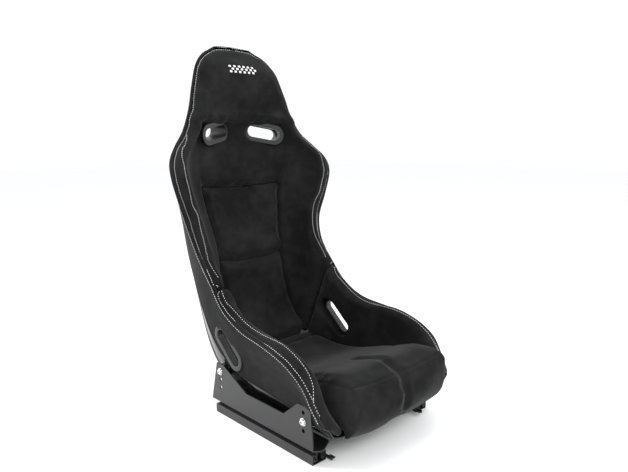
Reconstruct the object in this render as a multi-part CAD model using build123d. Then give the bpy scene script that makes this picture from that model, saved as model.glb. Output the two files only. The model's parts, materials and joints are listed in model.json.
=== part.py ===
from build123d import *
from math import atan2, cos, degrees, hypot, pi, radians, sin, sqrt
import os

# Racing bucket seat on a pair of slide rails. Millimetres, +Z up, the seat faces -Y.
# Origin: centre of the floor bolt pattern, on the underside of the lower rails.

# ---- driving dimensions: slide rails -------------------------------------------------
RAIL_X = 176.0            # centre line of each rail
RAIL_LENGTH = 338.0
RAIL_HEIGHT = 20.6
RAIL_HALF = 19.0          # half the width of a lower rail
RAIL_WALL = 2.0
RAIL_LIP_X = 9.5          # inner edge of the top lips
RAIL_LIP_Z = 13.0         # lower end of the turned-down lips
SLIDER_TOP_Z = 29.0       # top of an upper rail
SLIDER_TOP_HALF = 12.0
SLIDER_NECK = 8.0
SLIDER_FLANGE_Z = 6.5
SLIDER_FLANGE_HALF = 15.0
SLIDER_LIP_Z = 14.0
FLOOR_BOLT_Y = 145.0
FLOOR_BOLT_R = 4.25
NOTCH_PITCH = 14.0
NOTCH_WIDTH = 7.0
NOTCH_COUNT = 19

# ---- ball races ------------------------------------------------------------------------
BALL_R = 2.2
BALLS_PER_STRIP = 4
BALL_PITCH = 16.0
STRIP_Y = 82.0            # front and rear strips, each side of the middle of the rail
STRIP_LENGTH = 62.0

# ---- side brackets -----------------------------------------------------------------------
PLATE_INNER_X = 190.6
PLATE_THICK = 3.0
FLANGE_INNER_X = 138.0
REAR_BOLT = (151.0, 107.0)    # y, z
FRONT_BOLT = (-139.0, 85.0)
SPARE_HOLE_PITCH = 20.0
BOLT_R = 4.0
BOLT_HOLE_R = 4.5
PLATE_OUTLINE = [(187, 29), (167, 125), (140, 125), (51, 82), (-77, 81), (-121, 119), (-160, 119), (-168, 29)]
WASHER_R = 8.5
WASHER_THICK = 1.6
HEAD_R = 7.0
HEAD_HEIGHT = 4.4
SOCKET_R = 2.9
NUT_R = 9.0
NUT_X = (166.0, 172.8)
BOLT_END_X = 170.0
SLIDER_BOLTS_Y = (-120.0, 125.0)
SLIDER_BOLT_R = 3.0
SLIDER_BOLT_HEAD_R = 5.5
SLIDER_BOLT_HEAD = 3.2
SLIDER_NUT_R = 5.0
SLIDER_NUT_HALF = 2.0

# ---- shell ---------------------------------------------------------------------------------
SHELL_THICK = 4.0
FLARE = 3.0               # how late the side walls flare out to the rim
SKIN_GAP = 0.4
SKIN_THICK = 1.4
SEAT_GAP = 0.4            # play round bezels and brackets
SEAT_DEPTH = 45.0         # how far the room for a flange is cut
PAD_GAP = 3.0
BOSS_R = 17.0
BOSS_START_X = 173.0
NUT_POCKET_R = 12.0

# Loft stations from the front lip of the floor, round the hips and up to the crown.
# spine y, spine z, base half width, rim half width, rim y, rim z, squareness
STATIONS = [
    (-212, 62, 186, 213, -214, 102, 6.0),
    (-186, 50, 186, 219, -193, 136, 6.0),
    (-135, 45, 186, 221, -163, 178, 6.0),
    (-65, 43, 186, 218, -109, 208, 6.0),
    (10, 43, 186, 211, -33, 224, 6.0),
    (85, 46, 186, 205, 55, 237, 6.0),
    (160, 58, 187, 205, 121, 270, 5.5),
    (238, 100, 188, 203, 168, 321, 4.0),
    (300, 190, 188, 205, 211, 375, 3.0),
    (344, 290, 192, 216, 233, 436, 2.6),
    (370, 400, 204, 239, 233, 502, 2.3),
    (378, 500, 216, 257, 235, 564, 2.2),
    (379, 575, 212, 252, 250, 605, 2.2),
    (378, 635, 190, 224, 272, 640, 2.3),
    (377, 690, 162, 190, 290, 676, 2.5),
    (376, 745, 140, 164, 302, 728, 2.6),
    (375, 800, 124, 144, 315, 790, 2.7),
    (375, 848, 108, 123, 327, 842, 2.8),
    (372, 878, 84, 94, 338, 872, 2.8),
    (364, 891, 52, 58, 346, 888, 2.8),
]
LAST = len(STATIONS) - 1

# Edge of the trim that wraps on to the back of the shell, as a share of the half girth.
TRIM_EDGE = [(0, 0.80), (3, 0.80), (6, 0.84), (8, 0.76), (10, 0.66), (12, 0.56), (14.2, 0.42)]
TRIM_TOP = 14.5

# Soft parts: station, half width of the middle pad, depth of its face in front of the spine.
PAD_FACE = [
    (0.0, 160, 45), (2.0, 162, 70), (4.0, 163, 72), (5.5, 160, 62), (6.6, 140, 55),
    (7.6, 118, 82), (8.4, 110, 112), (9.2, 112, 112), (10.0, 122, 96), (10.8, 130, 82),
    (11.6, 136, 78), (12.4, 140, 76), (13.4, 140, 70), (14.5, 132, 66),
]
PAD_HOLLOW = 12.0
ROLL_WIDTH = 40.0
ROLL = [(0, 10), (1, 14), (3, 16), (5, 12), (8, 10), (10, 10), (12, 16), (13, 20), (14.5, 22)]
HEAD_FACE = [(14.5, 66, 22), (15, 74, 23), (15.5, 80, 24), (16, 82, 24), (17, 74, 24), (18, 54, 20), (19, 32, 14)]
NOSE_LENGTH = 18.0
NOSE_SCALE = 0.72
T_CREASE = 6.75           # stations where one pad meets the next
T_LUMBAR = 8.75
T_SHOULDER = 11.15
T_HEAD = 14.5
SEAM_GAP = 0.03

# Cushion, as a side profile in y and z.
CUSHION_HALF = 156.0
CUSHION_TOP = [(176, 122), (110, 113), (34, 112), (-60, 140), (-140, 166), (-205, 180)]
CUSHION_NOSE = (-250, 166)
CUSHION_FRONT = (-253, 128)
CUSHION_FOOT = [(-246, 92), (-226, 60)]
CUSHION_BASE = [(-217, 56), (-217, 74), (-120, 68), (0, 64), (85, 68), (140, 82), (162, 104)]
GROOVE_Y = -190.0
GROOVE_WIDTH = 7.0
GROOVE_DEPTH = 16.0

# ---- harness openings --------------------------------------------------------------------------
SHOULDER_SLOT = Vector(88, 335, 673)
SHOULDER_SLOT_SIZE = (94.0, 31.0)
SHOULDER_SLOT_TURN = 20.0     # about Z
SHOULDER_SLOT_TILT = 10.0     # outer end low
SHOULDER_FACES = (-24.0, 22.0)
HIP_SLOT_Y, HIP_SLOT_Z = 119.0, 174.5
HIP_SLOT_SIZE = (100.0, 27.0)
HIP_SLOT_SLOPE = 41.5
HIP_FACES = (166.0, 194.0)
BEZEL_FLANGE = 11.0
BEZEL_THICK = 3.0
BEZEL_WALL = 2.0

# ---- latches --------------------------------------------------------------------------------------
LATCH_PIN_X = 151.5
LATCH_PIN_Z = 22.5
LATCH_PIN_R = 2.0
LATCH_RUN_CLEARANCE = 0.05
LATCH_PLATE_X = 156.2         # face of the latch plate next to the rail
LATCH_PLATE_THICK = 2.0
LATCH_EARS_Y = (-96.0, -24.0)
LATCH_TEETH_Y = (-74.0, -60.0, -46.0)
TAB_END_Y = -186.0
LATCH_RIVET_X = 145.0
RIVET_R = 1.5
SPRING_TURNS = 5
SPRING_R = 2.9
SPRING_WIRE_R = 0.6

os.makedirs("parts", exist_ok=True)
sizes = {}


def write(name, shape):
    export_step(shape, f"parts/{name}.step")
    sizes[name] = shape.volume


def both_sides(name, shape):
    """shape is the one at +X, the seat's left."""
    write(f"{name}_left", shape)
    write(f"{name}_right", mirror(shape, about=Plane.YZ))


def blend_table(table, t):
    """Straight interpolation between the rows of a table that starts each row with a station."""
    rows = [(row[0], row[1:]) for row in table]
    if t <= rows[0][0]:
        return rows[0][1]
    for (ta, a), (tb, b) in zip(rows, rows[1:]):
        if t <= tb:
            f = (t - ta) / (tb - ta)
            return tuple(p + (q - p) * f for p, q in zip(a, b))
    return rows[-1][1]


def station(t):
    """Cubic interpolation of the loft stations."""
    i = min(int(t), LAST - 1)
    f = t - i
    a, b = STATIONS[i], STATIONS[i + 1]
    before = STATIONS[max(i - 1, 0)]
    after = STATIONS[min(i + 2, LAST)]
    out = []
    for p0, p1, p2, p3 in zip(before, a, b, after):
        m1, m2 = (p2 - p0) / 2, (p3 - p1) / 2
        out.append((2 * f**3 - 3 * f**2 + 1) * p1 + (f**3 - 2 * f**2 + f) * m1
                   + (3 * f**2 - 2 * f**3) * p2 + (f**3 - f**2) * m2)
    return out


def depth_of(t):
    sy, sz, _, _, ry, rz, _ = station(t)
    return hypot(ry - sy, rz - sz)


def place(t, x, d):
    """Point at half width x and depth d in the plane of station t."""
    sy, sz, _, _, ry, rz, _ = station(t)
    length = hypot(ry - sy, rz - sz)
    return Vector(x, sy + (ry - sy) * d / length, sz + (rz - sz) * d / length)


def wall(t, u, inset=0.0):
    """Half width and depth on the shell at girth share u, moved inwards by inset."""
    _, _, base, rim, _, _, n = station(t)
    depth = depth_of(t)

    def at(v):
        angle = v * pi / 2
        s, c = sin(angle) ** (2 / n), max(cos(angle), 0.0) ** (2 / n)
        rise = 1 - c
        return base * s + (rim - base) * rise**FLARE, depth * rise

    x, d = at(u)
    xa, da = at(max(u - 0.02, 0.0))
    xb, db = at(min(u + 0.02, 1.0))
    run = hypot(xb - xa, db - da)
    return x - inset * (db - da) / run, d + inset * (xb - xa) / run


GIRTH = [0.0, 0.06, 0.16, 0.28, 0.40, 0.52, 0.63, 0.73, 0.82, 0.90, 0.96, 1.0]


def shares(lo, hi):
    return [lo] + [u for u in GIRTH if lo + 0.02 < u < hi - 0.02] + [hi]


def face_of(*runs):
    """Closed planar face from runs of points, each run a smooth curve, joined by straight lines."""
    edges = []
    for i, run in enumerate(runs):
        edges.append(Spline(*run) if len(run) > 2 else Line(*run))
        nxt = runs[(i + 1) % len(runs)]
        if (run[-1] - nxt[0]).length > 1e-6:
            edges.append(Line(run[-1], nxt[0]))
    return Face(Wire(edges))


# ---- shell ------------------------------------------------------------------------------------------
def shell_section(t, outer=0.0, inner=SHELL_THICK, lo=0.0):
    """The U of the shell, or one side of it when lo is above 0."""
    us = shares(lo, 1.0)
    out = [place(t, *wall(t, u, outer)) for u in us]
    inn = [place(t, *wall(t, u, inner)) for u in us]
    if lo == 0.0:
        mirrored = [Vector(-p.X, p.Y, p.Z) for p in reversed(out[1:])]
        mirrored_in = [Vector(-p.X, p.Y, p.Z) for p in reversed(inn[1:])]
        out, inn = mirrored + out, mirrored_in + inn
    return face_of(out, list(reversed(inn)))


def stadium(plane, length, height, start, end):
    """Solid with a round-ended outline on plane, from start to end along its normal."""
    sketch = plane.offset(start) * SlotOverall(length, height)
    return extrude(sketch, amount=end - start)


def shoulder_plane():
    z_dir = Vector(0, 1, 0).rotate(Axis.Z, -SHOULDER_SLOT_TURN)
    along = z_dir.cross(Vector(0, 0, 1)).normalized()
    if along.X < 0:
        along = -along
    along = along.rotate(Axis((0, 0, 0), z_dir), SHOULDER_SLOT_TILT)
    if along.Z > 0:
        along = along.rotate(Axis((0, 0, 0), z_dir), -2 * SHOULDER_SLOT_TILT)
    return Plane(SHOULDER_SLOT, x_dir=along, z_dir=z_dir)


def hip_plane():
    slope = radians(HIP_SLOT_SLOPE)
    return Plane((0, HIP_SLOT_Y, HIP_SLOT_Z), x_dir=(0, cos(slope), sin(slope)), z_dir=(1, 0, 0))


def openings(margin, faces_margin=60.0):
    """The four harness openings, as solids to cut, on the +X side."""
    s_len, s_high = SHOULDER_SLOT_SIZE
    h_len, h_high = HIP_SLOT_SIZE
    grow = 2 * margin
    shoulder = stadium(shoulder_plane(), s_len + grow, s_high + grow, -faces_margin, faces_margin)
    hip = stadium(hip_plane(), h_len + grow, h_high + grow, 140.0, 240.0)
    return [shoulder, hip]


def side_bolt_places():
    return [REAR_BOLT, FRONT_BOLT]


def x_rod(y, z, r, x0, x1):
    return Pos((x0 + x1) / 2, y, z) * (Rot(0, 90, 0) * Cylinder(r, x1 - x0))


def cut_both(shape, cutters):
    for cutter in cutters:
        shape -= cutter
        shape -= mirror(cutter, about=Plane.YZ)
    return shape


def flange_seats():
    """Room for the four bezel flanges, from each flange's back outwards."""
    plane = shoulder_plane()
    front, rear = SHOULDER_FACES
    inner, outer = HIP_FACES
    s_len, s_high = [v + 2 * (BEZEL_FLANGE + SEAT_GAP) for v in SHOULDER_SLOT_SIZE]
    h_len, h_high = [v + 2 * (BEZEL_FLANGE + SEAT_GAP) for v in HIP_SLOT_SIZE]
    return [
        stadium(plane, s_len, s_high, front - SEAT_DEPTH, front + SEAT_GAP),
        stadium(plane, s_len, s_high, rear - SEAT_GAP, rear + SEAT_DEPTH),
        stadium(hip_plane(), h_len, h_high, inner - SEAT_DEPTH, inner + SEAT_GAP),
        stadium(hip_plane(), h_len, h_high, outer - SEAT_GAP, outer + SEAT_DEPTH),
    ]


def biggest(shape):
    return max(shape.solids(), key=lambda solid: solid.volume)


def fitted(shape, *others):
    """The soft part with room taken out for the bezels and for the parts it touches."""
    shape = cut_both(shape, bezel_room)
    for other in others:
        shape -= other
    return biggest(shape)


bezel_room = openings(BEZEL_WALL + SEAT_GAP) + flange_seats()
shell_loft = loft([shell_section(t) for t in range(LAST + 1)])
bosses = Part()
for y, z in side_bolt_places():
    boss = x_rod(y, z, BOSS_R, BOSS_START_X, PLATE_INNER_X - 0.1)
    bosses += boss
    bosses += mirror(boss, about=Plane.YZ)
shell = shell_loft + bosses
shell = cut_both(shell, bezel_room)
shell = cut_both(shell, [x_rod(y, z, BOLT_HOLE_R, 160.0, 200.0) for y, z in side_bolt_places()])
shell = cut_both(shell, [x_rod(y, z, NUT_POCKET_R, 150.0, BOSS_START_X) for y, z in side_bolt_places()])
bracket_room = Pos(PLATE_INNER_X - SEAT_GAP + 5, 0, 63) * Box(10, 420, 128)
shell = biggest(cut_both(shell, [bracket_room]))
write("shell", shell)


# ---- trim wrapped over the back of the shell ---------------------------------------------------------
def trim_section(t):
    edge = blend_table(TRIM_EDGE, t)[0]
    return shell_section(t, -SKIN_GAP - SKIN_THICK, -SKIN_GAP, edge)


rear_trim = loft([trim_section(t) for t in (0, 1, 2, 3, 4, 5, 6, 7, 8, 9, 10, 11, 12, 13, TRIM_TOP - 0.05)])
rear_trim -= Pos(PLATE_INNER_X, 0, 60) * Box(10, 420, 134)
rear_trim = fitted(rear_trim, shell)
both_sides("rear_trim", rear_trim)
head_cover = loft([shell_section(t, -SKIN_GAP - SKIN_THICK, -SKIN_GAP) for t in (TRIM_TOP, 15, 16, 17, 18, LAST)])
write("head_cover_rear", fitted(head_cover, shell))


# ---- bolsters and pads ----------------------------------------------------------------------------------
def bolster_section(t):
    """Foam between the shell's side wall and the occupant, rolled over the rim."""
    half, face = blend_table(PAD_FACE, t)
    roll = blend_table(ROLL, t)[0]
    us = [u for u in GIRTH if u < 1.0]
    back = [wall(t, u, SHELL_THICK + PAD_GAP) for u in us]
    back = [p for p in back if p[0] > half + 6]
    rim_x, rim_d = wall(t, 1.0)
    r = ROLL_WIDTH / 2
    arc = []
    for k in range(6):
        a = pi * k / 5
        arc.append((rim_x + 1.5 - r + r * cos(a), rim_d + 1.5 + roll * sin(a)))
    first = (half + 2.0, back[0][1])
    foot = (half + 2.0, min(face, rim_d - 4.0))
    top_x, top_d = arc[-1]
    belly = (foot[0] + (top_x - foot[0]) * 0.62, foot[1] + (top_d - foot[1]) * 0.45)
    under = (rim_x - SHELL_THICK - PAD_GAP, rim_d + 1.0)
    runs = [[first] + back, [under, (arc[0][0], rim_d + 1.0)], arc, [arc[-1], belly, foot]]
    return [[place(t, *p) for p in run] for run in runs]


def nose_section(runs):
    """The front end of a thigh bolster: its first section, smaller and further forward."""
    points = [p for run in runs for p in run]
    middle = sum(points, Vector(0, 0, 0)) * (1 / len(points))
    ahead = Vector(0, -NOSE_LENGTH, 0)
    return [[middle + (p - middle) * NOSE_SCALE + ahead for p in run] for run in runs]


def bolster(*stations, nose=False):
    outlines = [bolster_section(t) for t in stations]
    if nose:
        outlines.insert(0, nose_section(outlines[0]))
    solid = loft([face_of(*runs) for runs in outlines])
    for y, z in side_bolt_places():
        solid -= x_rod(y, z, BOSS_R + 1.5, 150.0, 200.0)
    return solid


def pad_section(t):
    """Middle pad, from the shell to its face, between the bolsters. The face is hollow across."""
    half, face = blend_table(PAD_FACE, t)
    us = [u for u in GIRTH if wall(t, u, SHELL_THICK + PAD_GAP)[0] < half - 4]
    back = [wall(t, u, SHELL_THICK + PAD_GAP) for u in us]
    edge_d = back[-1][1]
    back = [(-x, d) for x, d in reversed(back[1:])] + back
    side = [(half, edge_d + 3.0), (half, face)]
    front = [(half, face), (half * 0.5, face - PAD_HOLLOW * 0.7), (0, face - PAD_HOLLOW),
             (-half * 0.5, face - PAD_HOLLOW * 0.7), (-half, face)]
    other = [(-half, face), (-half, edge_d + 3.0)]
    return face_of(*[[place(t, *p) for p in run] for run in (back, side, front, other)])


def pad(*stations):
    return fitted(loft([pad_section(t) for t in stations]), shell)


lumbar_pad = pad(T_CREASE, 7.2, 7.6, 8.0, 8.4, T_LUMBAR - SEAM_GAP)
centre_back_pad = pad(T_LUMBAR, 9.2, 9.6, 10, 10.4, 10.8, T_SHOULDER - SEAM_GAP)
shoulder_pad = pad(T_SHOULDER, 11.6, 12, 12.4, 13, 13.6, T_HEAD - SEAM_GAP)
write("lumbar_pad", lumbar_pad)
write("centre_back_pad", centre_back_pad)
write("shoulder_pad", shoulder_pad)


def head_section(t):
    """Head pad across the whole width, rolled over the rim of the shell."""
    rim_x, rim_d = wall(t, 1.0)
    centre, roll = blend_table(HEAD_FACE, t)
    back = [wall(t, u, SHELL_THICK + PAD_GAP) for u in GIRTH]
    out = [(rim_x + 1.5, rim_d + 1.0), (rim_x + 2.0, rim_d + roll * 0.5), (rim_x - roll * 0.4, rim_d + roll)]
    top = rim_d + roll
    front = [(rim_x - roll * 0.4, top), (rim_x * 0.45, top + (centre - top) * 0.75), (0, centre)]
    half_runs = [[place(t, *p) for p in run] for run in (back, out, front)]

    def flip(run):
        return [Vector(-p.X, p.Y, p.Z) for p in reversed(run)]

    return face_of(flip(half_runs[0][1:]) + half_runs[0], half_runs[1],
                   half_runs[2] + flip(half_runs[2][:-1]), flip(half_runs[1]))


head_pad = loft([head_section(t) for t in (T_HEAD, 15, 15.5, 16, 16.5, 17, 17.5, 18, 18.5, LAST)])
write("head_pad", fitted(head_pad, shell))


def side_profile():
    """Cushion outline in the YZ plane."""
    top = Spline(*(CUSHION_TOP + [CUSHION_NOSE, CUSHION_FRONT] + CUSHION_FOOT))
    base = Polyline(*CUSHION_BASE)
    ends = [Line(top @ 1, base @ 0), Line(base @ 1, top @ 0)]
    return Face(Wire([*top.edges(), *base.edges(), *ends]))


cushion = extrude(Plane.YZ * side_profile(), amount=CUSHION_HALF, both=True)
groove_path = [(GROOVE_Y, 200), (GROOVE_Y, 180), (-236, 158), (-238, 60), (-300, 60), (-300, 200)]
groove = extrude(Plane.YZ * Face(Wire(Polyline(*groove_path, close=True).edges())),
                 amount=GROOVE_WIDTH / 2, both=True)
cushion = biggest(cushion - groove - shell)
write("seat_cushion", cushion)

thigh_bolster = bolster(0, 1, 2, 3, 4, 5, 6, T_CREASE - SEAM_GAP, nose=True)
both_sides("thigh_bolster", fitted(thigh_bolster, shell, cushion, rear_trim))
back_bolster = bolster(T_CREASE, 7.6, 8.4, 9.2, 10, 10.8, 11.6, 12.4, 13, 13.6, T_HEAD - SEAM_GAP)
both_sides("back_bolster", fitted(back_bolster, shell, lumbar_pad, centre_back_pad,
                                  shoulder_pad, rear_trim))


# ---- harness slot bezels ---------------------------------------------------------------------------------
def bezel(plane, size, face, mouth):
    """Ring with a flange at face and a sleeve that runs inwards to mouth."""
    length, height = size
    out = 1 if face > mouth else -1
    lo, hi = sorted((face, face + out * BEZEL_THICK))
    flange = stadium(plane, length + 2 * BEZEL_FLANGE, height + 2 * BEZEL_FLANGE, lo, hi)
    s_lo, s_hi = sorted((mouth, face))
    ring = flange + stadium(plane, length + 2 * BEZEL_WALL, height + 2 * BEZEL_WALL, s_lo, s_hi)
    return ring - stadium(plane, length, height, min(lo, s_lo) - 1, max(hi, s_hi) + 1)


slot_plane = shoulder_plane()
front_face, rear_face = SHOULDER_FACES
both_sides("shoulder_bezel_front", bezel(slot_plane, SHOULDER_SLOT_SIZE, front_face, 0.0))
both_sides("shoulder_bezel_rear", bezel(slot_plane, SHOULDER_SLOT_SIZE, rear_face, 0.3))
inner_face, outer_face = HIP_FACES
both_sides("hip_bezel_inner", bezel(hip_plane(), HIP_SLOT_SIZE, inner_face, 179.8))
both_sides("hip_bezel_outer", bezel(hip_plane(), HIP_SLOT_SIZE, outer_face, 180.2))


# ---- side brackets -----------------------------------------------------------------------------------------
def bracket():
    plate = Pos(PLATE_INNER_X, 0, 0) * extrude(Plane.YZ * make_face(Polyline(*PLATE_OUTLINE, close=True)),
                                               amount=PLATE_THICK)
    foot = [(PLATE_INNER_X + PLATE_THICK, -168), (PLATE_INNER_X + PLATE_THICK, 187), (170, 187),
            (FLANGE_INNER_X, 172), (FLANGE_INNER_X, -160), (170, -178), (182, -178)]
    flange = Pos(0, 0, SLIDER_TOP_Z) * extrude(make_face(Polyline(*foot, close=True)), amount=PLATE_THICK)
    part = plate + flange
    for y, z in side_bolt_places():
        for k in range(3):
            step = -SPARE_HOLE_PITCH * k if y > 0 else (SPARE_HOLE_PITCH * k if k < 2 else -SPARE_HOLE_PITCH)
            part -= x_rod(y, z + step, BOLT_HOLE_R, PLATE_INNER_X - 5, PLATE_INNER_X + 10)
    for y in SLIDER_BOLTS_Y:
        part -= Pos(RAIL_X, y, SLIDER_TOP_Z) * Cylinder(SLIDER_BOLT_R + 0.4, 20)
    for y in LATCH_EARS_Y:
        part -= Pos(LATCH_RIVET_X, y, SLIDER_TOP_Z) * Cylinder(RIVET_R + 0.1, 20)
    return part


both_sides("side_bracket", bracket())


# ---- slide rails, drawn as sections in X and Z about the rail's centre line ------------------------------------
def rail_solid(points, length=RAIL_LENGTH):
    loop = points + [(-x, z) for x, z in reversed(points) if x > 0]
    face = make_face(Polyline(*loop, close=True))
    return Pos(RAIL_X, length / 2, 0) * (Rot(90, 0, 0) * extrude(face, amount=length))


w = RAIL_WALL
lower = rail_solid([(0, 0), (RAIL_HALF, 0), (RAIL_HALF, RAIL_HEIGHT), (RAIL_LIP_X, RAIL_HEIGHT),
                    (RAIL_LIP_X, RAIL_LIP_Z), (RAIL_LIP_X + w, RAIL_LIP_Z), (RAIL_LIP_X + w, RAIL_HEIGHT - w),
                    (RAIL_HALF - w, RAIL_HEIGHT - w), (RAIL_HALF - w, w), (0, w)])
for y in (-FLOOR_BOLT_Y, FLOOR_BOLT_Y):
    lower -= Pos(RAIL_X, y, 0) * Cylinder(FLOOR_BOLT_R, 20)
for k in range(NOTCH_COUNT):
    y = (k - (NOTCH_COUNT - 1) / 2) * NOTCH_PITCH
    lower -= Pos(RAIL_X - RAIL_HALF, y, 9) * Box(3 * w, NOTCH_WIDTH, 6)
both_sides("lower_rail", lower)

z0, z1 = SLIDER_FLANGE_Z, SLIDER_FLANGE_Z + w
upper = rail_solid([(0, SLIDER_TOP_Z), (SLIDER_TOP_HALF, SLIDER_TOP_Z), (SLIDER_TOP_HALF, SLIDER_TOP_Z - w),
                    (SLIDER_NECK, SLIDER_TOP_Z - w), (SLIDER_NECK, z1), (SLIDER_FLANGE_HALF - w, z1),
                    (SLIDER_FLANGE_HALF - w, SLIDER_LIP_Z), (SLIDER_FLANGE_HALF, SLIDER_LIP_Z),
                    (SLIDER_FLANGE_HALF, z0), (SLIDER_NECK - w, z0), (SLIDER_NECK - w, SLIDER_TOP_Z - w),
                    (0, SLIDER_TOP_Z - w)])
for y in SLIDER_BOLTS_Y:
    upper -= Pos(RAIL_X, y, SLIDER_TOP_Z) * Cylinder(SLIDER_BOLT_R + 0.4, 12)
both_sides("upper_rail", upper)

# ---- ball races: upper strips ride between the lips, lower strips under the flanges ------------------------------
race_rows = [(RAIL_HALF - w + RAIL_LIP_X + w) / 2, -(RAIL_HALF + RAIL_LIP_X) / 2]
race_heights = [(SLIDER_LIP_Z + RAIL_HEIGHT - w) / 2, (SLIDER_FLANGE_Z + w) / 2]
cages, balls = Part(), Part()
for strip_y in (-STRIP_Y, STRIP_Y):
    for dx in race_rows:
        for z in race_heights:
            strip = Pos(RAIL_X + dx, strip_y, z) * Box(5.0, STRIP_LENGTH, 2.6)
            for k in range(BALLS_PER_STRIP):
                y = strip_y + (k - (BALLS_PER_STRIP - 1) / 2) * BALL_PITCH
                strip -= Pos(RAIL_X + dx, y, z) * Cylinder(BALL_R + 0.06, 8)
                balls += Pos(RAIL_X + dx, y, z) * Sphere(BALL_R)
            cages += strip
both_sides("ball_cage", cages)
both_sides("bearing_balls", balls)

# ---- fasteners -----------------------------------------------------------------------------------------------------
washers, bolts, nuts = Part(), Part(), Part()
plate_face = PLATE_INNER_X + PLATE_THICK
head_face = plate_face + WASHER_THICK
for y, z in side_bolt_places():
    washers += x_rod(y, z, WASHER_R, plate_face, head_face) - x_rod(y, z, BOLT_R + 0.3, 180.0, 200.0)
    head = x_rod(y, z, HEAD_R, head_face, head_face + HEAD_HEIGHT)
    head = fillet(head.edges().group_by(Axis.X)[-1], 0.68 * HEAD_HEIGHT)
    hexagon = Plane((head_face + HEAD_HEIGHT / 3, y, z), z_dir=(1, 0, 0)) * RegularPolygon(SOCKET_R, 6)
    bolts += head + x_rod(y, z, BOLT_R, BOLT_END_X, head_face) - extrude(hexagon, amount=HEAD_HEIGHT)
    nuts += x_rod(y, z, NUT_R, *NUT_X) - x_rod(y, z, BOLT_R + 0.05, 160.0, 176.0)
for name, group in (("side_washers", washers), ("side_bolts", bolts), ("captive_nuts", nuts)):
    write(name, group + mirror(group, about=Plane.YZ))

rail_bolts, rail_nuts = Part(), Part()
seat_z = SLIDER_TOP_Z + PLATE_THICK
for y in SLIDER_BOLTS_Y:
    head = Pos(RAIL_X, y, seat_z + SLIDER_BOLT_HEAD / 2) * Cylinder(SLIDER_BOLT_HEAD_R, SLIDER_BOLT_HEAD)
    rail_bolts += head + Pos(RAIL_X, y, seat_z - 6.5) * Cylinder(SLIDER_BOLT_R, 13)
    hexagon = extrude(RegularPolygon(SLIDER_NUT_R, 6), amount=SLIDER_NUT_HALF, both=True)
    rail_nuts += Pos(RAIL_X, y, SLIDER_TOP_Z - w - SLIDER_NUT_HALF - 0.2) * (
        hexagon - Cylinder(SLIDER_BOLT_R + 0.05, 10))
for name, group in (("slider_bolts", rail_bolts), ("slider_nuts", rail_nuts)):
    write(name, group + mirror(group, about=Plane.YZ))


# ---- latches ---------------------------------------------------------------------------------------------------------
def y_rod(x, z, r, y0, y1):
    return Pos(x, (y0 + y1) / 2, z) * (Rot(90, 0, 0) * Cylinder(r, y1 - y0))


ear_bar, latch_pins, latch_rivets = Part(), Part(), Part()
for y in LATCH_EARS_Y:
    ear = Pos(LATCH_PIN_X, y, (SLIDER_TOP_Z + LATCH_PIN_Z) / 2 - 1.6) * Box(9.0, 3.0, 9.4)
    tongue = Pos(LATCH_RIVET_X + 2.0, y, SLIDER_TOP_Z - 1.1) * Box(14.0, 8.0, 1.8)
    ear_bar += ear + tongue - Pos(LATCH_RIVET_X, y, SLIDER_TOP_Z) * Cylinder(RIVET_R + 0.1, 10)
    latch_rivets += Pos(LATCH_RIVET_X, y, SLIDER_TOP_Z) * Cylinder(RIVET_R, 2 * PLATE_THICK + 2.0)
    latch_rivets += Pos(LATCH_RIVET_X, y, seat_z + 1.0) * Cylinder(2 * RIVET_R, 1.6)
pin = y_rod(LATCH_PIN_X, LATCH_PIN_Z, LATCH_PIN_R, LATCH_EARS_Y[0] - 4, LATCH_EARS_Y[1] + 4)
ears = ear_bar - pin
both_sides("latch_ears", ears)
both_sides("latch_pin", pin)
write("latch_rivets", latch_rivets + mirror(latch_rivets, about=Plane.YZ))

plate_x = LATCH_PLATE_X - LATCH_PLATE_THICK / 2
lever = Pos(plate_x, (LATCH_EARS_Y[0] + LATCH_EARS_Y[1]) / 2, 12.0) * Box(LATCH_PLATE_THICK, 52.0, 15.0)
lever += Pos(plate_x, (TAB_END_Y + LATCH_EARS_Y[0]) / 2, 8.0) * Box(LATCH_PLATE_THICK, LATCH_EARS_Y[0] - TAB_END_Y, 7.0)
lever += Pos(plate_x - 4.0, TAB_END_Y + 7.0, 8.0) * Box(8.0 + LATCH_PLATE_THICK, 14.0, 2.4)
for y in (LATCH_EARS_Y[0] + 6.0, LATCH_EARS_Y[1] - 6.0):
    lever += y_rod(LATCH_PIN_X, LATCH_PIN_Z, 4.4, y - 3.5, y + 3.5)
    lever += Pos((LATCH_PIN_X + plate_x) / 2, y, 19.5) * Box(plate_x - LATCH_PIN_X, 7.0, 5.0)
for y in LATCH_TEETH_Y:
    lever += Pos(LATCH_PLATE_X + 0.1, y, 9.0) * Box(0.8, NOTCH_WIDTH - 2.0, 4.0)
lever -= y_rod(LATCH_PIN_X, LATCH_PIN_Z, LATCH_PIN_R + LATCH_RUN_CLEARANCE, -200, 100)
both_sides("latch_lever", lever)

coil = Part()
for k in range(SPRING_TURNS):
    y = -60.0 + (k - (SPRING_TURNS - 1) / 2) * 2.0
    coil += Pos(LATCH_PIN_X, y, LATCH_PIN_Z) * (Rot(90, 0, 0) * Torus(SPRING_R, SPRING_WIRE_R))
both_sides("latch_spring", coil)

for name, volume in sizes.items():
    print(f"{name:28s} {volume / 1000:9.2f} cm3")
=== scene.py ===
import json
import math
import bmesh
import bpy
from mathutils import Matrix, Vector
from mathutils.bvhtree import BVHTree
from mathutils.kdtree import KDTree


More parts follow.
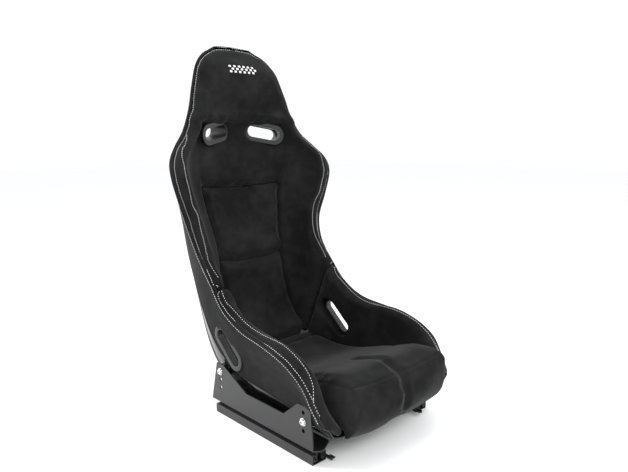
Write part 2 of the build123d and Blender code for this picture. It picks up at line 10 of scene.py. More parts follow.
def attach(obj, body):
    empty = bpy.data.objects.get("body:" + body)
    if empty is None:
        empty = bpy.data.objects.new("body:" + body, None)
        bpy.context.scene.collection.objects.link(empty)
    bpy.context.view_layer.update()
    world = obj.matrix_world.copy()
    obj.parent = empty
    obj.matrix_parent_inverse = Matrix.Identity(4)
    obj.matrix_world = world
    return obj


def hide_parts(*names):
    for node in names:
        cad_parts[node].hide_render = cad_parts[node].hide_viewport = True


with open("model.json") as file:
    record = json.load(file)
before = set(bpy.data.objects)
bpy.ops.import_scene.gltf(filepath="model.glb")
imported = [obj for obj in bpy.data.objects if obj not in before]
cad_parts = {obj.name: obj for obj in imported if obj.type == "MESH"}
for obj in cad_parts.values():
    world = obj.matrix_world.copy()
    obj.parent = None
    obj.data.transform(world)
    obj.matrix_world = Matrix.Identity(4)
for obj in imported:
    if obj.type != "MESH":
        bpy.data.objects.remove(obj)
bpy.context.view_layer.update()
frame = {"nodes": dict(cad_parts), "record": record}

scene = bpy.context.scene
nodes = frame["nodes"]
MM = 0.001

# ---- the seat's stations, as in the part: spine y, z, base and rim half widths, rim y, z, squareness
STATIONS = [
    (-212, 62, 186, 213, -214, 102, 6.0),
    (-186, 50, 186, 219, -193, 136, 6.0),
    (-135, 45, 186, 221, -163, 178, 6.0),
    (-65, 43, 186, 218, -109, 208, 6.0),
    (10, 43, 186, 211, -33, 224, 6.0),
    (85, 46, 186, 205, 55, 237, 6.0),
    (160, 58, 187, 205, 121, 270, 5.5),
    (238, 100, 188, 203, 168, 321, 4.0),
    (300, 190, 188, 205, 211, 375, 3.0),
    (344, 290, 192, 216, 233, 436, 2.6),
    (370, 400, 204, 239, 233, 502, 2.3),
    (378, 500, 216, 257, 235, 564, 2.2),
    (379, 575, 212, 252, 250, 605, 2.2),
    (378, 635, 190, 224, 272, 640, 2.3),
    (377, 690, 162, 190, 290, 676, 2.5),
    (376, 745, 140, 164, 302, 728, 2.6),
    (375, 800, 124, 144, 315, 790, 2.7),
    (375, 848, 108, 123, 327, 842, 2.8),
    (372, 878, 84, 94, 338, 872, 2.8),
    (364, 891, 52, 58, 346, 888, 2.8),
]
LAST = len(STATIONS) - 1
FLARE = 3.0
SHELL_THICK = 4.0
COVER_OFFSET = 2.2            # outer face of the rear cover, off the shell
COVER_THICK = 1.4
# inner edge of the rear cover, as a share of the half girth
COVER_EDGE = [(0, 0.80), (3, 0.80), (6, 0.84), (8, 0.76), (10, 0.66), (12, 0.575), (13.2, 0.53),
              (13.8, 0.44), (14.2, 0.28), (14.5, 0.0)]
RIB = [(9.6, 4.0, 0.0), (10.2, 6.0, 6.0), (13, 16.0, 9.0), (14.6, 30.0, 9.0), (15.2, 34.0, 0.0)]
RIDGE_SHARES = (0.50, 0.61)
RIDGE_SPAN = (3.0, 11.6)
RIDGE_HEIGHT = 4.0

# metres from here on
SHOULDER_SLOT = Vector((0.088, 0.335, 0.673))
SHOULDER_SLOT_TURN = math.radians(20)
SHOULDER_SLOT_TILT = math.radians(10)
SHOULDER_CUT = (0.0985, 0.0355, 0.07)     # length, height, reach to each side
HIP_SLOT_Y, HIP_SLOT_Z = 0.119, 0.1745
HIP_SLOT_SLOPE = math.radians(41.5)
HIP_SLOT_SIZE = (0.100, 0.027)
HIP_CUT_X = 0.190
HIP_CUT = (0.1045, 0.0315, 0.04)
HIP_RECESS_X = 0.155
HIP_RECESS = (0.123, 0.050)
HIP_INNER = 0.179             # back of the inner hip bezel's flange
HIP_OUTER = 0.1912            # back of the outer one
BEZEL_FLANGE = 0.011
BEZEL_WALL = 0.002
BEZEL_THICK = 0.003
SIDE_BOLTS = ((0.151, 0.107), (-0.139, 0.085))
BOSS_X, BOSS_RADIUS, BOSS_DEPTH = 0.1817, 0.017, 0.0175
CLOTH_FRAMES = 20
CLOTH_PRESSURE = 4.0
CHEQUER_SQUARE = 0.0072
CHEQUER_COLUMNS, CHEQUER_ROWS, CHEQUER_THREADS = 12, 3, 7
CROWN_FROM = 0.865
CROWN_BLEND = 0.02
CROWN_HALF = 0.075
CROWN_RISE = 0.006

STITCH_LENGTH = 3.9
STITCH_PITCH = 5.4
STITCH_R = 0.75
ROW_OFFSET = 5.5              # each row of stitches to its seam


def blend_table(table, t):
    """Straight interpolation in a table whose rows start with a station."""
    if t <= table[0][0]:
        return table[0][1:]
    for a, b in zip(table, table[1:]):
        if t <= b[0]:
            f = (t - a[0]) / (b[0] - a[0])
            return tuple(p + (q - p) * f for p, q in zip(a[1:], b[1:]))
    return table[-1][1:]


def station(t):
    """Cubic interpolation of the stations."""
    i = min(int(t), LAST - 1)
    f = t - i
    rows = STATIONS[max(i - 1, 0)], STATIONS[i], STATIONS[i + 1], STATIONS[min(i + 2, LAST)]
    out = []
    for p0, p1, p2, p3 in zip(*rows):
        m1, m2 = (p2 - p0) / 2, (p3 - p1) / 2
        out.append((2 * f**3 - 3 * f**2 + 1) * p1 + (f**3 - 2 * f**2 + f) * m1
                   + (3 * f**2 - 2 * f**3) * p2 + (f**3 - f**2) * m2)
    return out


def place(t, x, d):
    """Point in metres at half width x and depth d, in millimetres, in the plane of station t."""
    sy, sz, _, _, ry, rz, _ = station(t)
    length = math.hypot(ry - sy, rz - sz)
    return Vector((x, sy + (ry - sy) * d / length, sz + (rz - sz) * d / length)) * MM


def wall(t, u, inset=0.0):
    """Half width and depth on the shell at girth share u, moved inwards by inset."""
    sy, sz, base, rim, ry, rz, n = station(t)
    depth = math.hypot(ry - sy, rz - sz)

    def at(v):
        s = math.sin(v * math.pi / 2) ** (2 / n)
        c = max(math.cos(v * math.pi / 2), 0.0) ** (2 / n)
        return base * s + (rim - base) * (1 - c) ** FLARE, depth * (1 - c)

    x, d = at(u)
    xa, da = at(max(u - 0.02, 0.0))
    xb, db = at(min(u + 0.02, 1.0))
    run = math.hypot(xb - xa, db - da)
    return x - inset * (db - da) / run, d + inset * (xb - xa) / run


def rim(t, out=0.0, up=0.0):
    """Point on the rim of the left side, moved outwards and past the rim."""
    x, d = wall(t, 1.0)
    return place(t, x + out, d + up)


def bump_of(distance, half):
    """Smooth hump: 1 in the middle, 0 past half."""
    return 0.5 + 0.5 * math.cos(math.pi * min(abs(distance) / half, 1.0))


# ---- mesh helpers --------------------------------------------------------------------------------
def new_object(name, mesh):
    obj = bpy.data.objects.new(name, mesh)
    scene.collection.objects.link(obj)
    return obj


def from_bmesh(name, bm, smooth=True):
    mesh = bpy.data.meshes.new(name)
    bm.to_mesh(mesh)
    bm.free()
    if smooth:
        mesh.shade_smooth()
    return new_object(name, mesh)


def apply_all(obj):
    """Puts the object's modifiers into its mesh."""
    mesh = bpy.data.meshes.new_from_object(obj.evaluated_get(bpy.context.evaluated_depsgraph_get()))
    obj.modifiers.clear()
    obj.data = mesh


def grid(bm, rows):
    """Sheet of quads through rows of points, all rows of the same length."""
    ny, nx = len(rows), len(rows[0])
    made = bmesh.ops.create_grid(bm, x_segments=nx - 1, y_segments=ny - 1, size=1.0)
    for v in made["verts"]:
        i = round((v.co.x + 1) / 2 * (nx - 1))
        j = round((v.co.y + 1) / 2 * (ny - 1))
        v.co = rows[j][i]
    return made["verts"]


def face_out(bm):
    """Turns an open sheet so that its rearmost face looks back."""
    bmesh.ops.recalc_face_normals(bm, faces=bm.faces)
    rearmost = max(bm.faces, key=lambda face: face.calc_center_median().y)
    if rearmost.normal.y < 0:
        bmesh.ops.reverse_faces(bm, faces=bm.faces)


def spread(lo, hi, count):
    return [lo + (hi - lo) * k / (count - 1) for k in range(count)]


def stadium_cutter(name, centre, along, normal, length, height, reach):
    """Prism with a round-ended outline, used to cut a slot."""
    bm = bmesh.new()
    bmesh.ops.create_circle(bm, cap_ends=True, radius=height / 2, segments=48)
    for v in bm.verts:
        v.co.x += (length - height) / 2 * (1 if v.co.x > 0 else -1)
    bmesh.ops.translate(bm, verts=bm.verts, vec=(0, 0, -reach))
    out = bmesh.ops.extrude_face_region(bm, geom=bm.faces[:])
    top = [g for g in out["geom"] if isinstance(g, bmesh.types.BMVert)]
    bmesh.ops.translate(bm, verts=top, vec=(0, 0, 2 * reach))
    along, normal = along.normalized(), normal.normalized()
    turn = Matrix((along, normal.cross(along), normal)).transposed().to_4x4()
    bmesh.ops.transform(bm, verts=bm.verts, matrix=Matrix.Translation(centre) @ turn)
    bmesh.ops.recalc_face_normals(bm, faces=bm.faces)
    return from_bmesh(name, bm, smooth=False)


def cut(obj, cutters):
    for cutter in cutters:
        mod = obj.modifiers.new("cut", "BOOLEAN")
        mod.operation = "DIFFERENCE"
        mod.solver = "EXACT"
        mod.object = cutter
    apply_all(obj)


# ---- materials -----------------------------------------------------------------------------------
def make_group(name, outputs):
    group = bpy.data.node_groups.new(name, "ShaderNodeTree")
    for label, kind in outputs:
        group.interface.new_socket(label, in_out="OUTPUT", socket_type=kind)
    return group, group.nodes.new("NodeGroupOutput")


def add(tree, kind, **values):
    """A node with its plain settings and socket values set by name."""
    node = tree.nodes.new(kind)
    for key, value in values.items():
        if hasattr(node, key):
            setattr(node, key, value)
        else:
            node.inputs[key.replace("_", " ")].default_value = value
    return node


def noise_of(tree, vector, scale, detail=4.0, roughness=0.55):
    node = add(tree, "ShaderNodeTexNoise", Scale=scale, Detail=detail, Roughness=roughness)
    tree.links.new(vector, node.inputs["Vector"])
    return node.outputs["Fac"]


def ramp(tree, value, lo, hi, a=0.0, b=1.0):
    node = tree.nodes.new("ShaderNodeMapRange")
    for key, number in zip(("From Min", "From Max", "To Min", "To Max"), (lo, hi, a, b)):
        node.inputs[key].default_value = number
    tree.links.new(value, node.inputs["Value"])
    return node.outputs["Result"]


def maths(tree, operation, a, b):
    node = tree.nodes.new("ShaderNodeMath")
    node.operation = operation
    for socket, value in zip(node.inputs, (a, b)):
        if isinstance(value, (int, float)):
            socket.default_value = value
        else:
            tree.links.new(value, socket)
    return node.outputs["Value"]


def mix_colour(tree, factor, a, b):
    node = tree.nodes.new("ShaderNodeMix")
    node.data_type = "RGBA"
    tree.links.new(factor, node.inputs[0])
    for socket, value in ((node.inputs[6], a), (node.inputs[7], b)):
        if isinstance(value, tuple):
            socket.default_value = value
        else:
            tree.links.new(value, socket)
    return node.outputs[2]


def bump(tree, height, strength, distance):
    node = add(tree, "ShaderNodeBump", Strength=strength, Distance=distance)
    tree.links.new(height, node.inputs["Height"])
    return node.outputs["Normal"]


def grey(v, tint=0.0):
    return (v, v, v * (1 + tint), 1.0)


def nap_group():
    """Brushed pile of suede: patches where it lies the other way, fine fibres."""
    group, out = make_group("nap", [("Patches", "NodeSocketFloat"), ("Fibres", "NodeSocketFloat"),
                                    ("Height", "NodeSocketFloat")])
    where = group.nodes.new("ShaderNodeTexCoord").outputs["Object"]
    wide = noise_of(group, where, 7.0, 3.0, 0.6)
    near = noise_of(group, where, 38.0, 5.0, 0.7)
    both_scales = maths(group, "ADD", wide, maths(group, "MULTIPLY", near, 0.5))
    patches = ramp(group, both_scales, 0.62, 0.98)
    fibres = noise_of(group, where, 900.0, 2.0, 0.7)
    pile = maths(group, "ADD", maths(group, "MULTIPLY", fibres, 0.6), maths(group, "MULTIPLY", near, 0.8))
    for value, socket in zip((patches, fibres, pile), out.inputs):
        group.links.new(value, socket)
    return group


def wear_group():
    """Fine scratches and smudges for hard, painted or moulded faces."""
    group, out = make_group("wear", [("Scratches", "NodeSocketFloat"), ("Smudges", "NodeSocketFloat"),
                                     ("Grain", "NodeSocketFloat")])
    where = group.nodes.new("ShaderNodeTexCoord").outputs["Object"]
    stretch = add(group, "ShaderNodeMapping")
    stretch.inputs["Scale"].default_value = (14.0, 1.0, 9.0)
    stretch.inputs["Rotation"].default_value = (0.3, 0.2, 0.15)
    group.links.new(where, stretch.inputs["Vector"])
    lines = ramp(group, noise_of(group, stretch.outputs["Vector"], 60.0, 6.0, 0.8), 0.66, 0.74)
    smudges = ramp(group, noise_of(group, where, 11.0, 5.0, 0.65), 0.40, 0.70)
    grain = noise_of(group, where, 1400.0, 2.0, 0.5)
    for value, socket in zip((lines, smudges, grain), out.inputs):
        group.links.new(value, socket)
    return group


def new_material(name, group, **values):
    """A material with a Principled shader and one instance of a group."""
    material = bpy.data.materials.new(name)
    material.use_nodes = True
    tree = material.node_tree
    shader = tree.nodes["Principled BSDF"]
    for key, value in values.items():
        shader.inputs[key.replace("_", " ")].default_value = value
    effect = tree.nodes.new("ShaderNodeGroup")
    effect.node_tree = group
    return material, tree, shader, effect


nap = nap_group()
wear = wear_group()


def suede_material():
    material, tree, shader, effect = new_material(
        "black_suede", nap, Roughness=0.95, Specular_IOR_Level=0.12, Sheen_Weight=0.10, Sheen_Roughness=0.4)
    shader.inputs["Sheen Tint"].default_value = grey(0.75)
    tone = mix_colour(tree, effect.outputs["Patches"], grey(0.0045), grey(0.0165, 0.04))
    tree.links.new(tone, shader.inputs["Base Color"])
    tree.links.new(bump(tree, effect.outputs["Height"], 0.55, 0.0006), shader.inputs["Normal"])
    return material


def hard_material(name, tone, worn, roughness, metal=0.0, grain=0.15, smudge=0.12, scratch=0.5):
    """Painted, plated or moulded face: tone and roughness changed by scratches and smudges."""
    material, tree, shader, effect = new_material(name, wear, Metallic=metal)
    marks = maths(tree, "MULTIPLY", effect.outputs["Scratches"], scratch)
    tree.links.new(mix_colour(tree, marks, tone, worn), shader.inputs["Base Color"])
    rough = maths(tree, "ADD", ramp(tree, effect.outputs["Smudges"], 0, 1, roughness, roughness + smudge),
                  maths(tree, "MULTIPLY", marks, 0.12))
    tree.links.new(rough, shader.inputs["Roughness"])
    tree.links.new(bump(tree, effect.outputs["Grain"], grain, 0.0003), shader.inputs["Normal"])
    return material


def thread_material():
    material, tree, shader, effect = new_material("white_thread", nap, Roughness=0.6, Sheen_Weight=0.2)
    tone = mix_colour(tree, effect.outputs["Fibres"], grey(0.62, -0.02), grey(0.86, -0.02))
    tree.links.new(tone, shader.inputs["Base Color"])
    return material


suede = suede_material()
thread = thread_material()
finishes = {
    "gelcoat": hard_material("black_gelcoat", grey(0.004), grey(0.03), 0.05, grain=0.02,
                             smudge=0.07, scratch=0.2),
    "suede": suede,
    "bezel_plastic": hard_material("bezel_plastic", grey(0.010), grey(0.05), 0.36, grain=0.3),
    "powder_coat": hard_material("powder_coat", grey(0.013, 0.06), grey(0.12), 0.33, grain=0.4, scratch=0.3),
    "zinc_steel": hard_material("zinc_steel", grey(0.68, 0.01), grey(0.85), 0.24, metal=1.0, grain=0.1),
    "latch_steel": hard_material("black_oxide", grey(0.035), grey(0.3), 0.35, metal=0.7, grain=0.3),
    "bearing_steel": hard_material("bearing_steel", grey(0.72), grey(0.8), 0.1, metal=1.0, grain=0.02),
    "cage_plastic": hard_material("natural_nylon", (0.70, 0.68, 0.60, 1), grey(0.8), 0.5, grain=0.2),
}


def finish_piece(obj, slot_name, *replaced):
    obj.data.materials.clear()
    obj.data.materials.append(finishes.get(slot_name) or thread)
    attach(obj, "seat")
    if replaced:
        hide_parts(*replaced)


# ---- openings ------------------------------------------------------------------------------------
def flipped(v):
    return Vector((-v.x, v.y, v.z))


cutters = []
recesses = []
slot_normal = Vector((math.sin(SHOULDER_SLOT_TURN), math.cos(SHOULDER_SLOT_TURN), 0))
slot_level = Vector((math.cos(SHOULDER_SLOT_TURN), -math.sin(SHOULDER_SLOT_TURN), 0))
slot_along = slot_level * math.cos(SHOULDER_SLOT_TILT) - Vector((0, 0, 1)) * math.sin(SHOULDER_SLOT_TILT)
hip_along = Vector((0, math.cos(HIP_SLOT_SLOPE), math.sin(HIP_SLOT_SLOPE)))
for mirror_it in (False, True):
    side = flipped if mirror_it else Vector
    label = "right" if mirror_it else "left"
    cutters.append(stadium_cutter(f"shoulder_cut_{label}", side(SHOULDER_SLOT), side(slot_along),
                                  side(slot_normal), *SHOULDER_CUT))
    cutters.append(stadium_cutter(f"hip_cut_{label}", side(Vector((HIP_CUT_X, HIP_SLOT_Y, HIP_SLOT_Z))),
                                  hip_along, Vector((1, 0, 0)), *HIP_CUT))
    recess_place = side(Vector((HIP_RECESS_X, HIP_SLOT_Y, HIP_SLOT_Z)))
    recesses.append(stadium_cutter(f"hip_recess_{label}", recess_place, hip_along, Vector((1, 0, 0)),
                                   *HIP_RECESS, HIP_INNER - HIP_RECESS_X))


# ---- shell ---------------------------------------------------------------------------------------
def shell_relief(t, u):
    """How far ribs stand off the shell, in millimetres."""
    x, _ = wall(t, abs(u))
    half, high = blend_table(RIB, t)
    relief = high * min(1.0, 1.8 * bump_of(x, half * 1.6))
    lo, hi = RIDGE_SPAN
    if lo < t < hi:
        fade = min(1.0, (t - lo) / 1.5, (hi - t) / 1.5)
        for share in RIDGE_SHARES:
            relief += RIDGE_HEIGHT * fade * bump_of(abs(u) - share, 0.045)
    return relief


def signed(t, u, inset):
    x, d = wall(t, abs(u), inset)
    return place(t, math.copysign(x, u), d)


bm = bmesh.new()
grid(bm, [[signed(t, u, -shell_relief(t, u)) for u in spread(-1, 1, 161)] for t in spread(0, LAST, 153)])
face_out(bm)
shell = from_bmesh("moulded_shell", bm)
mod = shell.modifiers.new("thickness", "SOLIDIFY")
mod.thickness = SHELL_THICK * MM
apply_all(shell)
cut(shell, cutters)
bm = bmesh.new()
bm.from_mesh(shell.data)
for y, z in SIDE_BOLTS:
    for sign in (-1, 1):
        boss_place = Matrix.Translation((sign * BOSS_X, y, z)) @ Matrix.Rotation(math.pi / 2, 4, "Y")
        bmesh.ops.create_cone(bm, cap_ends=True, segments=48, radius1=BOSS_RADIUS, radius2=BOSS_RADIUS,
                              depth=BOSS_DEPTH, matrix=boss_place)
bm.to_mesh(shell.data)
bm.free()
finish_piece(shell, "gelcoat", "shell")


# ---- rear cover: suede wrapped round the rim on to the back of the shell -------------------------
def raise_crown(obj):
    """Domes the top of the head between its corners."""
    for v in obj.data.vertices:
        if v.co.z > CROWN_FROM and abs(v.co.x) < CROWN_HALF:
            share = min((v.co.z - CROWN_FROM) / CROWN_BLEND, 1.0)
            v.co.z += CROWN_RISE * share * (1 - (v.co.x / CROWN_HALF) ** 2)


def hip_bezel(name, sign, back, front, mouth, replaced):
    """Flange from back to front, with a sleeve that runs to mouth."""
    bm = bmesh.new()
    centre = Vector((0, HIP_SLOT_Y, HIP_SLOT_Z))
    length, height = HIP_SLOT_SIZE
    for outer, lo, hi in ((BEZEL_FLANGE, back, front), (BEZEL_WALL, back, mouth)):
        middle, reach = (lo + hi) / 2, abs(hi - lo) / 2
        at = centre + Vector((sign * middle, 0, 0))
        body = stadium_cutter("body", at, hip_along, Vector((1, 0, 0)), length + 2 * outer,
                              height + 2 * outer, reach)
        hole = stadium_cutter("hole", at, hip_along, Vector((1, 0, 0)), length, height, reach + 0.004)
        cut(body, [hole])
        bm.from_mesh(body.data)
        bpy.data.objects.remove(body)
        bpy.data.objects.remove(hole)
    bezel = from_bmesh(name, bm, smooth=False)
    soften = bezel.modifiers.new("edges", "BEVEL")
    soften.width = 0.0009
    soften.segments = 3
    soften.limit_method = "ANGLE"
    apply_all(bezel)
    bezel.data.shade_smooth()
    finish_piece(bezel, "bezel_plastic", replaced)


for label, sign in (("left", 1), ("right", -1)):
    hip_bezel(f"hip_ring_inner_{label}", sign, HIP_INNER, HIP_INNER - BEZEL_THICK, 0.1848,
              f"hip_bezel_inner_{label}")
    hip_bezel(f"hip_ring_outer_{label}", sign, HIP_OUTER, HIP_OUTER + BEZEL_THICK, 0.1852,
              f"hip_bezel_outer_{label}")


def cover_row(t, lift=0.0, shrink=0.0):
    edge = blend_table(COVER_EDGE, t)[0]
    row = []
    for k, u in enumerate(spread(edge, 1.0, 41)):
        hem = 1.0 - math.exp(-k / 1.5)
        off = COVER_OFFSET * (0.55 + 0.45 * hem) + 1.2 * bump_of(k - 4, 5) + shell_relief(t, u) * (u < 0.45)
        row.append(place(t, *wall(t, u, shrink - off)))
    x, d = wall(t, 1.0)
    row += [place(t, x + 2.0 - shrink, d + 1.5), place(t, x + 1.0 - shrink, d + 3.5),
            place(t, x - 5.0, d + 4.5)]
    return [p + Vector((0, 0, lift)) for p in row]


rows = [cover_row(t) for t in spread(0.0, LAST, 153)]
rows += [cover_row(LAST, 0.0015, 2.5), cover_row(LAST, 0.0015, 7.0), cover_row(LAST, 0.0005, 13.0)]
bm = bmesh.new()
grid(bm, rows)
grid(bm, [[flipped(p) for p in row] for row in rows])
bmesh.ops.remove_doubles(bm, verts=bm.verts, dist=0.0004)
face_out(bm)
rear_cover = from_bmesh("rear_cover", bm)
mod = rear_cover.modifiers.new("thickness", "SOLIDIFY")
mod.thickness = COVER_THICK * MM
apply_all(rear_cover)
cut(rear_cover, cutters)
raise_crown(rear_cover)
finish_piece(rear_cover, "suede", "rear_trim_left", "rear_trim_right", "head_cover_rear")


# ---- pads and bolsters ---------------------------------------------------------------------------
def swell(obj, cap):
    """Cloth under pressure, stopped before a point has moved further than cap."""
    start = [v.co.copy() for v in obj.data.vertices]
    cloth = obj.modifiers.new("cover", "CLOTH")
    settings = cloth.settings
    settings.quality = 4
    settings.mass = 0.3
    settings.use_pressure = True
    settings.uniform_pressure_force = CLOTH_PRESSURE
    settings.effector_weights.gravity = 0.0
    cloth.collision_settings.use_collision = False
    cloth.point_cache.frame_start = 1
    cloth.point_cache.frame_end = CLOTH_FRAMES
    for number in range(1, CLOTH_FRAMES + 1):
        scene.frame_set(number)
    apply_all(obj)
    scene.frame_set(1)
    for v, rest in zip(obj.data.vertices, start):
        move = v.co - rest
        if move.length > cap:
            v.co = rest + move.normalized() * cap


def soft_copy(name, sources, voxel=0.005, relax=5, cap=0.005, plugs=()):
    """Soft piece from the plain solids it stands for. Each plug is a filled rod: centre, radius, length."""
    bm = bmesh.new()
    for centre, radius, length in plugs:
        matrix = Matrix.Translation(centre) @ Matrix.Rotation(math.pi / 2, 4, "Y")
        bmesh.ops.create_cone(bm, cap_ends=True, segments=32, radius1=radius, radius2=radius, depth=length,
                              matrix=matrix)
    for source in sources:
        bm.from_mesh(nodes[source].data)
    bmesh.ops.remove_doubles(bm, verts=bm.verts, dist=0.00002)
    obj = from_bmesh(name, bm)
    remesh = obj.modifiers.new("even", "REMESH")
    remesh.mode = "VOXEL"
    remesh.voxel_size = voxel
    smooth = obj.modifiers.new("relax", "SMOOTH")
    smooth.factor = 0.5
    smooth.iterations = relax
    apply_all(obj)
    swell(obj, cap)
    smooth = obj.modifiers.new("relax", "SMOOTH")
    smooth.factor = 0.5
    smooth.iterations = 3
    fine = obj.modifiers.new("fine", "SUBSURF")
    fine.levels = fine.render_levels = 1
    apply_all(obj)
    obj.data.shade_smooth()
    finish_piece(obj, "suede", *sources)
    return obj


pads = [
    soft_copy("back_upholstery", ["shoulder_pad", "head_pad", "back_bolster_left", "back_bolster_right"],
              relax=8),
    soft_copy("middle_pad", ["centre_back_pad"]),
    soft_copy("lumbar_cushion", ["lumbar_pad"]),
    soft_copy("base_cushion", ["seat_cushion"], cap=0.007,
              plugs=[(Vector((0, 0.195, 0.103)), 0.016, 0.300)]),
]
raise_crown(pads[0])
bolsters = []
for label in ("left", "right"):
    sign = 1 if label == "left" else -1
    bolsters.append(soft_copy(f"leg_bolster_{label}", [f"thigh_bolster_{label}"], relax=6,
                              plugs=[(Vector((sign * 0.157, 0.151, 0.107)), 0.021, 0.016)]))
for obj in bolsters:
    cut(obj, recesses)


# ---- seams ---------------------------------------------------------------------------------------
def densify(points, step=0.001):
    """Smooth path through the points, with even steps."""
    curve = []
    for i in range(len(points) - 1):
        p0, p1, p2 = points[max(i - 1, 0)], points[i], points[i + 1]
        p3 = points[min(i + 2, len(points) - 1)]
        count = max(2, int((p2 - p1).length / step))
        for k in range(count):
            f = k / count
            m1, m2 = (p2 - p0) / 2, (p3 - p1) / 2
            curve.append((2 * f**3 - 3 * f**2 + 1) * p1 + (f**3 - 2 * f**2 + f) * m1
                         + (3 * f**2 - 2 * f**3) * p2 + (f**3 - f**2) * m2)
    return curve + [points[-1]]


def tree_of(objects):
    bm = bmesh.new()
    for obj in objects:
        bm.from_mesh(obj.data)
    tree = BVHTree.FromBMesh(bm)
    bm.free()
    return tree


def crease(obj, paths, half=0.0045, deep=0.0016):
    """Draws the surface in along the seams."""
    points = [p for path in paths for p in path]
    tree = KDTree(len(points))
    for i, p in enumerate(points):
        tree.insert(p, i)
    tree.balance()
    normals = [v.normal.copy() for v in obj.data.vertices]
    for v, normal in zip(obj.data.vertices, normals):
        _, _, distance = tree.find(v.co)
        if distance < half:
            v.co -= normal * deep * bump_of(distance, half)


def both(path):
    return [path, [flipped(p) for p in path]]


def points_mm(rows):
    return [Vector(row) * MM for row in rows]


RIM_STEPS = spread(0.25, LAST, 150)
crown = [Vector((x, 0.346, 0.893)) for x in (0.045, 0.03, 0.015, 0.0)]
rim_seam = densify([rim(t, 2.0, 2.0) for t in RIM_STEPS] + crown)
shoulder_seam = densify(points_mm([(196, 283, 678), (218, 240, 662), (224, 222, 622), (222, 207, 581),
                                   (214, 204, 540), (210, 209, 512), (196, 205, 470), (187, 195, 420),
                                   (182, 180, 370), (180, 166, 330)]))
leg_seam = densify(points_mm([(203, 158, 318), (196, 140, 318), (188, 119, 280), (184, 60, 246),
                              (183, 5, 238), (188, -60, 226), (194, -110, 212), (198, -150, 188),
                              (204, -176, 160), (212, -192, 128)]))
soft_tree = tree_of(pads + bolsters)
cover_tree = tree_of([rear_cover])


def snapped(path, tree, window=14):
    """The path on the nearest surface, evened out and put back on it."""
    flat = [tree.find_nearest(p)[0] for p in path]
    even = []
    for i in range(len(flat)):
        near = flat[max(0, i - window):i + window + 1]
        even.append(sum(near, Vector()) / len(near))
    return [tree.find_nearest(p)[:2] for p in even]


seams = []
for path in (rim_seam, shoulder_seam, leg_seam):
    for one in both(path):
        seams.append([where for where, _ in snapped(one, soft_tree)])
for obj in bolsters + pads[:1]:
    crease(obj, seams)

cushion_tree = tree_of([pads[3]])
front_edge = densify(points_mm([(-150, -234, 174), (-80, -240, 176), (-8, -236, 170)]))
side_edge = densify(points_mm([(153, 120, 113), (153, 34, 112), (153, -60, 139), (153, -140, 164),
                               (151, -234, 172)]))
front_corner = densify(points_mm([(151, -236, 170), (150, -252, 150), (148, -252, 120)]))
cushion_seams = []
for path in (front_edge, side_edge, front_corner):
    for one in both(path):
        cushion_seams.append([where for where, _ in snapped(one, cushion_tree)])
crease(pads[3], cushion_seams, half=0.006, deep=0.0022)
groove = densify(points_mm([(0, -110, 158), (0, -190, 178), (0, -246, 170), (0, -254, 130), (0, -250, 96)]))
crease(pads[3], [[where for where, _ in snapped(groove, cushion_tree)]], half=0.022, deep=0.006)


def stow(bm, parts):
    """Keeps what was made so far as a mesh, and empties bm, which stays quick while it is small."""
    mesh = bpy.data.meshes.new("part")
    bm.to_mesh(mesh)
    bm.clear()
    parts.append(mesh)


def joined(name, parts):
    bm = bmesh.new()
    for mesh in parts:
        bm.from_mesh(mesh)
        bpy.data.meshes.remove(mesh)
    return from_bmesh(name, bm)


def lay_stitches(parts, path, tree, lift=0.0002):
    """A row of stitches along the path, each lying on the surface."""
    bm = bmesh.new()
    walked = 0.0
    line = snapped(path, tree)
    for (p, normal), (q, _) in zip(line, line[1:]):
        walked += (q - p).length
        if walked < STITCH_PITCH * MM:
            continue
        walked = 0.0
        along = (q - p).normalized()
        across = normal.cross(along).normalized()
        up = along.cross(across)
        turn = Matrix((along, across, up)).transposed().to_4x4()
        size = Matrix.Diagonal((STITCH_LENGTH / 2 * MM, STITCH_R * MM, STITCH_R * MM, 1))
        bmesh.ops.create_icosphere(bm, subdivisions=1, radius=1.0,
                                   matrix=Matrix.Translation(p + normal * lift) @ turn @ size)
        if len(bm.verts) > 1000:
            stow(bm, parts)
    stow(bm, parts)


soft_tree = tree_of(pads + bolsters)
rows_sewn = []
inner_rim = densify([rim(t, 2.5, ROW_OFFSET + 3.0) for t in RIM_STEPS]
                    + [p + Vector((0, -0.009, 0)) for p in crown])
outer_rim = densify([rim(t, 3.0, -ROW_OFFSET) for t in RIM_STEPS]
                    + [p + Vector((0, 0.004, 0)) for p in crown])
for one in both(inner_rim):
    lay_stitches(rows_sewn, one, soft_tree)
for one in both(outer_rim):
    lay_stitches(rows_sewn, one, cover_tree)
for path in (shoulder_seam, leg_seam):
    for one in both(path):
        lay_stitches(rows_sewn, one, soft_tree)
stitching = joined("top_stitching", rows_sewn)
finish_piece(stitching, "thread")


# ---- chequer strip, worked in thread on the front and back of the head ---------------------------
def chequer(bm, centre, facing, tree):
    """Rows of squares, every other one filled with satin stitch."""
    across = Vector((-facing.y, facing.x, 0)).normalized()
    up = facing.cross(across)
    up = up if up.z > 0 else -up
    size = CHEQUER_SQUARE
    for column in range(CHEQUER_COLUMNS):
        for line in range(CHEQUER_ROWS):
            if (column + line) % 2:
                continue
            middle = (column - (CHEQUER_COLUMNS - 1) / 2) * size
            level = (line - (CHEQUER_ROWS - 1) / 2) * size
            for k in range(CHEQUER_THREADS):
                p = centre + across * (middle + (k - 3) * size / CHEQUER_THREADS) + up * level
                where, normal, _, _ = tree.ray_cast(p + facing * 0.15, -facing)
                if where is None:
                    continue
                side = normal.cross(up).normalized()
                turn = Matrix((side.cross(normal), side, normal)).transposed().to_4x4()
                scale = Matrix.Diagonal((size * 0.5, 0.00062, 0.0005, 1))
                bmesh.ops.create_icosphere(bm, subdivisions=1, radius=1.0,
                                           matrix=Matrix.Translation(where + normal * 0.0003) @ turn @ scale)


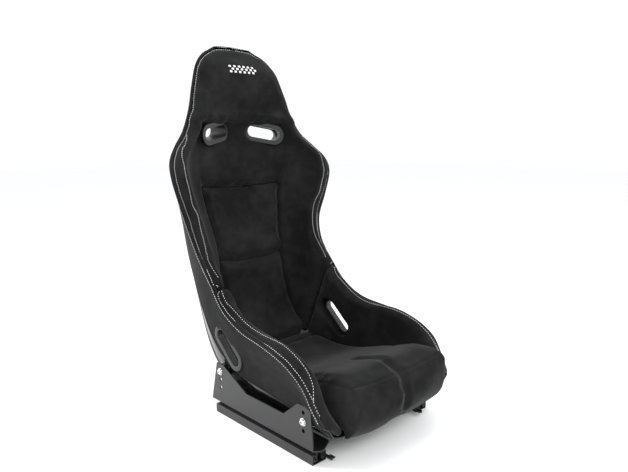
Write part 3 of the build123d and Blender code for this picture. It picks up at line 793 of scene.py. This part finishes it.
bm = bmesh.new()
front_of_head = Vector((0, -0.97, 0.24)).normalized()
chequer(bm, Vector((0, 0.32, 0.829)), front_of_head, soft_tree)
chequer(bm, Vector((0, 0.375, 0.831)), Vector((0, 1, 0.03)).normalized(), cover_tree)
badge = from_bmesh("chequer_strip", bm)
finish_piece(badge, "thread")

for cutter in cutters + recesses:
    bpy.data.objects.remove(cutter)

# ---- carried-over parts --------------------------------------------------------------------------
for part in frame["record"]["subparts"]:
    obj = nodes[part["node"]]
    obj.data.materials.clear()
    obj.data.materials.append(finishes[part["material_slot"]])

# ---- floor, light and camera ---------------------------------------------------------------------
bm = bmesh.new()
bmesh.ops.create_grid(bm, x_segments=1, y_segments=1, size=12.0)
floor = from_bmesh("floor", bm, smooth=False)
floor.data.materials.append(new_material("floor", wear, Base_Color=grey(0.93), Roughness=0.6)[0])

world = bpy.data.worlds.new("studio")
scene.world = world
world.use_nodes = True
world.node_tree.nodes["Background"].inputs["Color"].default_value = (0.93, 0.94, 0.95, 1)
world.node_tree.nodes["Background"].inputs["Strength"].default_value = 1.12
scene.view_settings.view_transform = "Standard"


def softbox(name, at, toward, width, height, power):
    light = bpy.data.lights.new(name, "AREA")
    light.shape = "RECTANGLE"
    light.size = width
    light.size_y = height
    light.energy = power
    obj = new_object(name, light)
    obj.location = at
    obj.rotation_euler = (Vector(toward) - Vector(at)).to_track_quat("-Z", "Y").to_euler()
    return obj


softbox("key", (-1.6, -2.4, 2.3), (0, 0.1, 0.4), 1.6, 1.2, 60)
softbox("fill", (2.4, -1.4, 1.6), (0, 0.1, 0.4), 1.4, 1.6, 25)
softbox("back_strip", (-1.7, 2.2, 1.5), (0, 0.2, 0.4), 0.5, 1.8, 60)
softbox("top", (0.2, 0.4, 2.8), (0, 0.1, 0.4), 1.8, 1.8, 25)

CAMERA_TARGET = Vector((0, 0.074, 0.424))
CAMERA_AZIMUTH, CAMERA_ELEVATION = math.radians(-42.98), math.radians(9.49)
CAMERA_DISTANCE = 1.4426
camera_data = bpy.data.cameras.new("camera")
camera = new_object("camera", camera_data)
scene.camera = camera
back = Vector((math.sin(CAMERA_AZIMUTH) * math.cos(CAMERA_ELEVATION),
               -math.cos(CAMERA_AZIMUTH) * math.cos(CAMERA_ELEVATION), math.sin(CAMERA_ELEVATION)))
camera.location = CAMERA_TARGET + back * CAMERA_DISTANCE
camera.rotation_euler = back.to_track_quat("Z", "Y").to_euler()
camera_data.lens = 33.9
camera_data.shift_x = 0.02
camera_data.shift_y = 0.0
